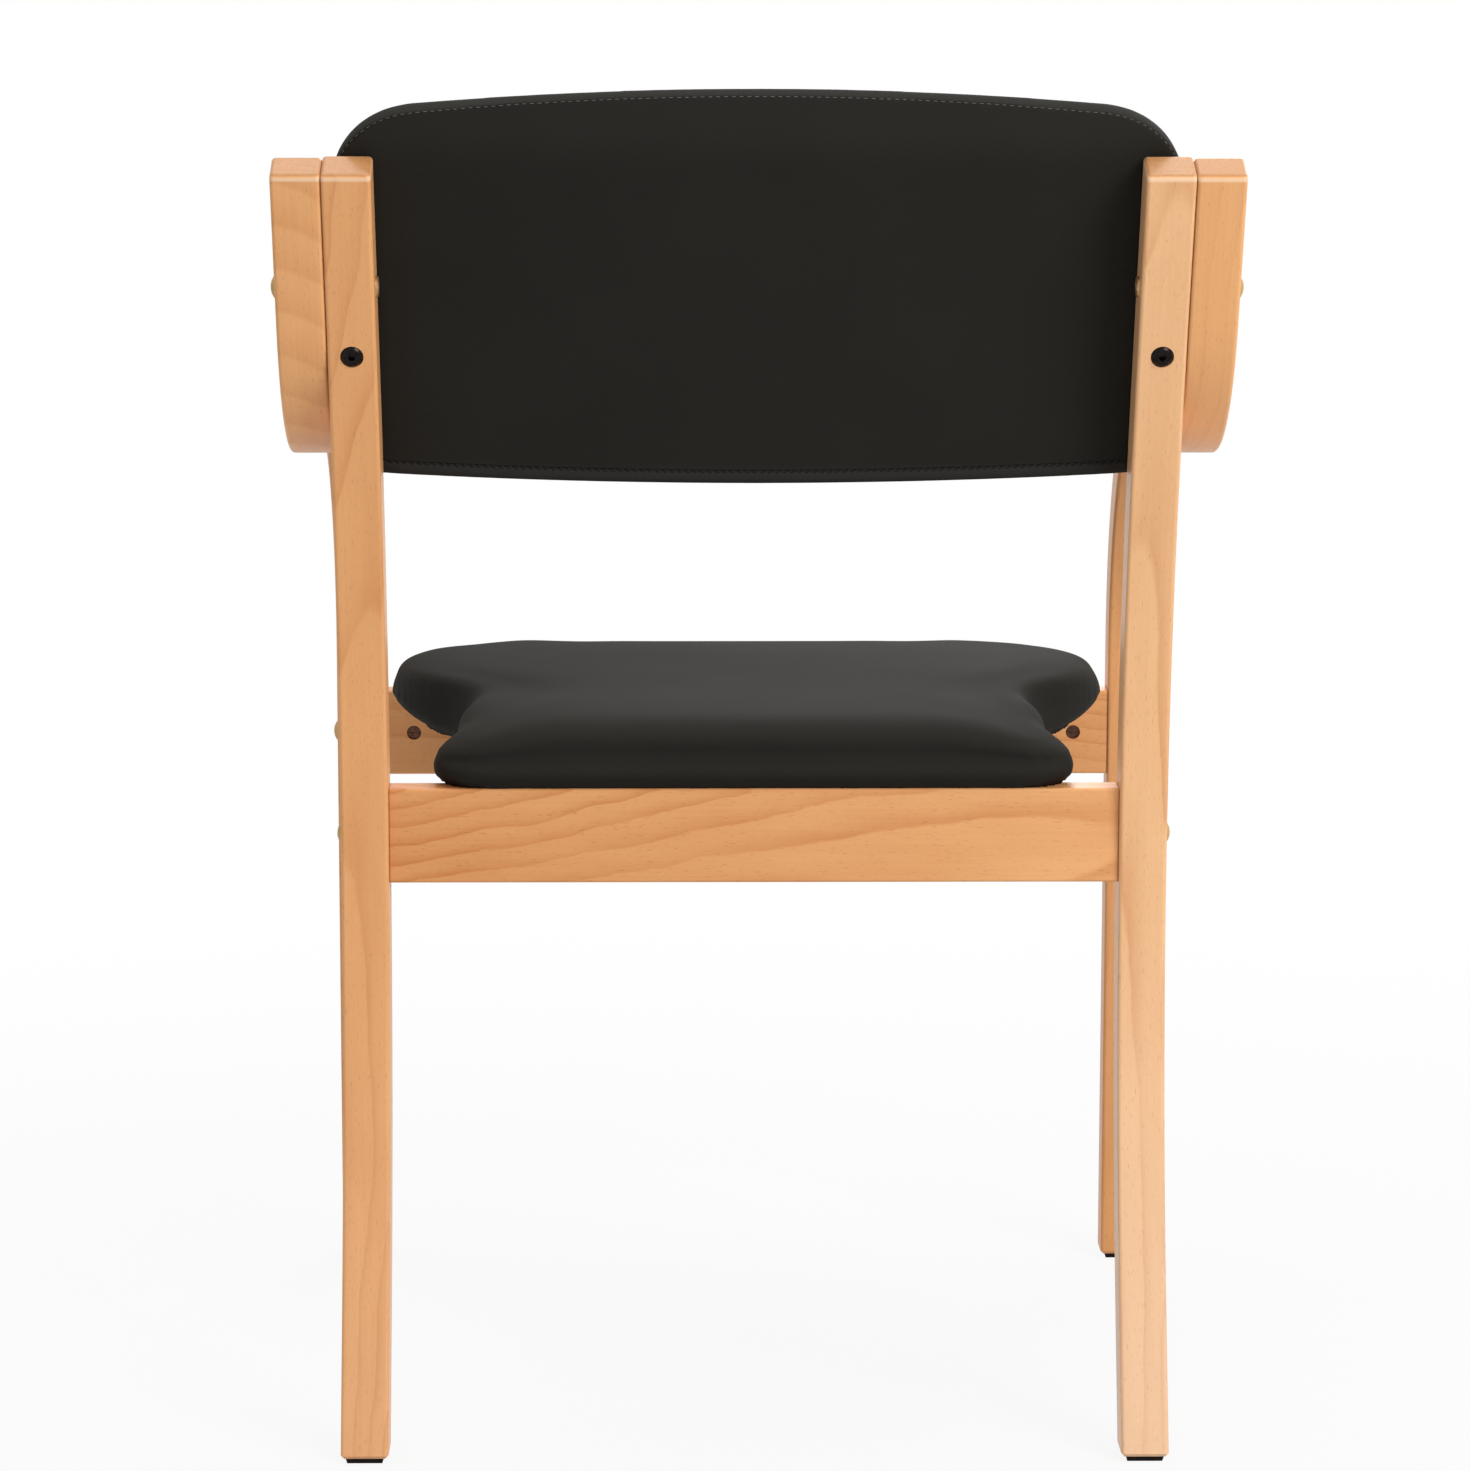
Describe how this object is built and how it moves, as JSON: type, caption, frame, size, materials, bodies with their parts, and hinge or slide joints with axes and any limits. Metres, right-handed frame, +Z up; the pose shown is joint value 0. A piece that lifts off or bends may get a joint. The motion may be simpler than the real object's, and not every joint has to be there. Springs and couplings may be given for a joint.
{
  "type": "visitor chair",
  "caption": "Bolted beech visitor chair with bent arm loops, raked rear posts and a black vinyl padded seat and curved back.",
  "frame": {"origin": "on the floor under the middle of the chair's bounding box", "axes": "+Z is up, the sitter faces -Y, and +X is at the sitter's left"},
  "size_m": [0.5864, 0.5951, 0.8575],
  "materials": {
    "beech": "clear satin lacquer",
    "plywood": "raw",
    "foam": "open cell foam",
    "vinyl": "soft black vinyl with a fine grain",
    "liner": "black dust cloth",
    "black_steel": "black oxide",
    "zinc_steel": "bright zinc",
    "cap_plastic": "tan moulded plastic",
    "glide_plastic": "black moulded plastic"
  },
  "bodies": {
    "root": {"rear_post_left": "beech", "rear_post_right": "beech", "arm_loop_left": "beech", "arm_loop_right": "beech", "rear_rail": "beech", "front_rail": "beech", "rear_rail_dowels": "beech", "front_rail_dowels": "beech", "arm_dowels": "beech", "seat_board": "plywood", "back_board": "plywood", "seat_foam": "foam", "back_foam": "foam", "seat_cover": "vinyl", "back_cover_front": "vinyl", "back_cover_rear": "vinyl", "seat_liner": "liner", "back_bolts": "black_steel", "seat_bolts": "zinc_steel", "seat_tee_nuts": "zinc_steel", "back_tee_nuts": "zinc_steel", "arm_bolts": "zinc_steel", "rear_rail_bolts": "zinc_steel", "rear_barrel_nuts": "zinc_steel", "front_rail_bolts": "zinc_steel", "front_barrel_nuts": "zinc_steel", "glide_nails": "zinc_steel", "arm_sleeve_nuts": "zinc_steel", "arm_bolt_caps": "cap_plastic", "rear_bolt_caps": "cap_plastic", "front_bolt_caps": "cap_plastic", "foot_glide_front_left": "glide_plastic", "foot_glide_front_right": "glide_plastic", "foot_glide_rear_left": "glide_plastic", "foot_glide_rear_right": "glide_plastic"}
  },
  "joints": []
}
